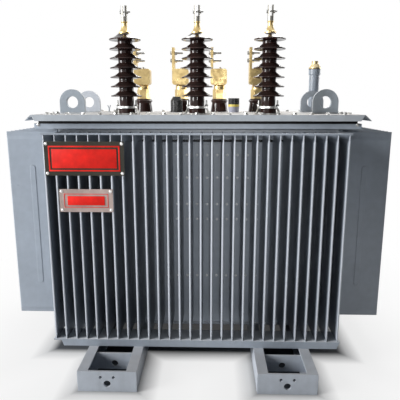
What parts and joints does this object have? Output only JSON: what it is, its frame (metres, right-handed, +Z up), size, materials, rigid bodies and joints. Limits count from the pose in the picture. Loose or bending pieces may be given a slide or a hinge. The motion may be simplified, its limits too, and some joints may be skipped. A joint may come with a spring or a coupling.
{
  "type": "power transformer",
  "caption": "Grey sealed oil-filled power transformer with a corrugated fin tank, brown porcelain bushings and brass terminals on its cover, standing on channel skids.",
  "frame": {"origin": "floor level under the middle of the tank", "axes": "+X along the tank, -Y the high-voltage front, +Z up"},
  "size_m": [1.7, 1.43, 1.5304],
  "materials": {
    "tank_paint": "grey enamel paint on sheet steel",
    "gasket_rubber": "black oil-proof rubber",
    "cast_foot": "dull cast metal",
    "dark_porcelain": "dark brown gloss glaze",
    "tinned_metal": "tinned, satin",
    "terminal_brass": "cast and machined brass, a little dull",
    "index_ring": "yellow moulded ring",
    "knob_black": "black moulded knob",
    "large_plate": "dark olive painted plate, left bare",
    "small_plate": "pale satin plate, left bare"
  },
  "bodies": {
    "root": {"tank_floor": "tank_paint", "front_fin_wall": "tank_paint", "rear_fin_wall": "tank_paint", "left_fin_wall": "tank_paint", "right_fin_wall": "tank_paint", "front_fin_bar": "tank_paint", "rear_fin_bar": "tank_paint", "front_fin_rail": "tank_paint", "rear_fin_rail": "tank_paint", "tank_rim": "tank_paint", "cover_gasket": "gasket_rubber", "cover": "tank_paint", "lug_front_left": "tank_paint", "lug_front_right": "tank_paint", "lug_rear_left": "tank_paint", "lug_rear_right": "tank_paint", "hv_foot_a": "cast_foot", "hv_foot_b": "cast_foot", "hv_foot_c": "cast_foot", "hv_porcelain_a": "dark_porcelain", "hv_porcelain_b": "dark_porcelain", "hv_porcelain_c": "dark_porcelain", "hv_clamp_a": "tinned_metal", "hv_clamp_b": "tinned_metal", "hv_clamp_c": "tinned_metal", "hv_cap_a": "terminal_brass", "hv_cap_b": "terminal_brass", "hv_cap_c": "terminal_brass", "hv_terminal_a": "tinned_metal", "hv_terminal_b": "tinned_metal", "hv_terminal_c": "tinned_metal", "lv_porcelain_a": "dark_porcelain", "lv_porcelain_b": "dark_porcelain", "lv_porcelain_c": "dark_porcelain", "lv_porcelain_n": "dark_porcelain", "lv_terminal_a": "terminal_brass", "lv_terminal_b": "terminal_brass", "lv_terminal_c": "terminal_brass", "lv_terminal_n": "terminal_brass", "filler_pipe": "tank_paint", "filler_cap": "terminal_brass", "tap_body": "tank_paint", "tap_ring": "index_ring", "tap_knob": "knob_black", "relief_valve": "knob_black", "large_plate": "large_plate", "small_plate": "small_plate", "skid_left_outer": "tank_paint", "skid_left_inner": "tank_paint", "skid_right_inner": "tank_paint", "skid_right_outer": "tank_paint", "skid_left_plates": "tank_paint", "skid_right_plates": "tank_paint"}
  },
  "joints": []
}
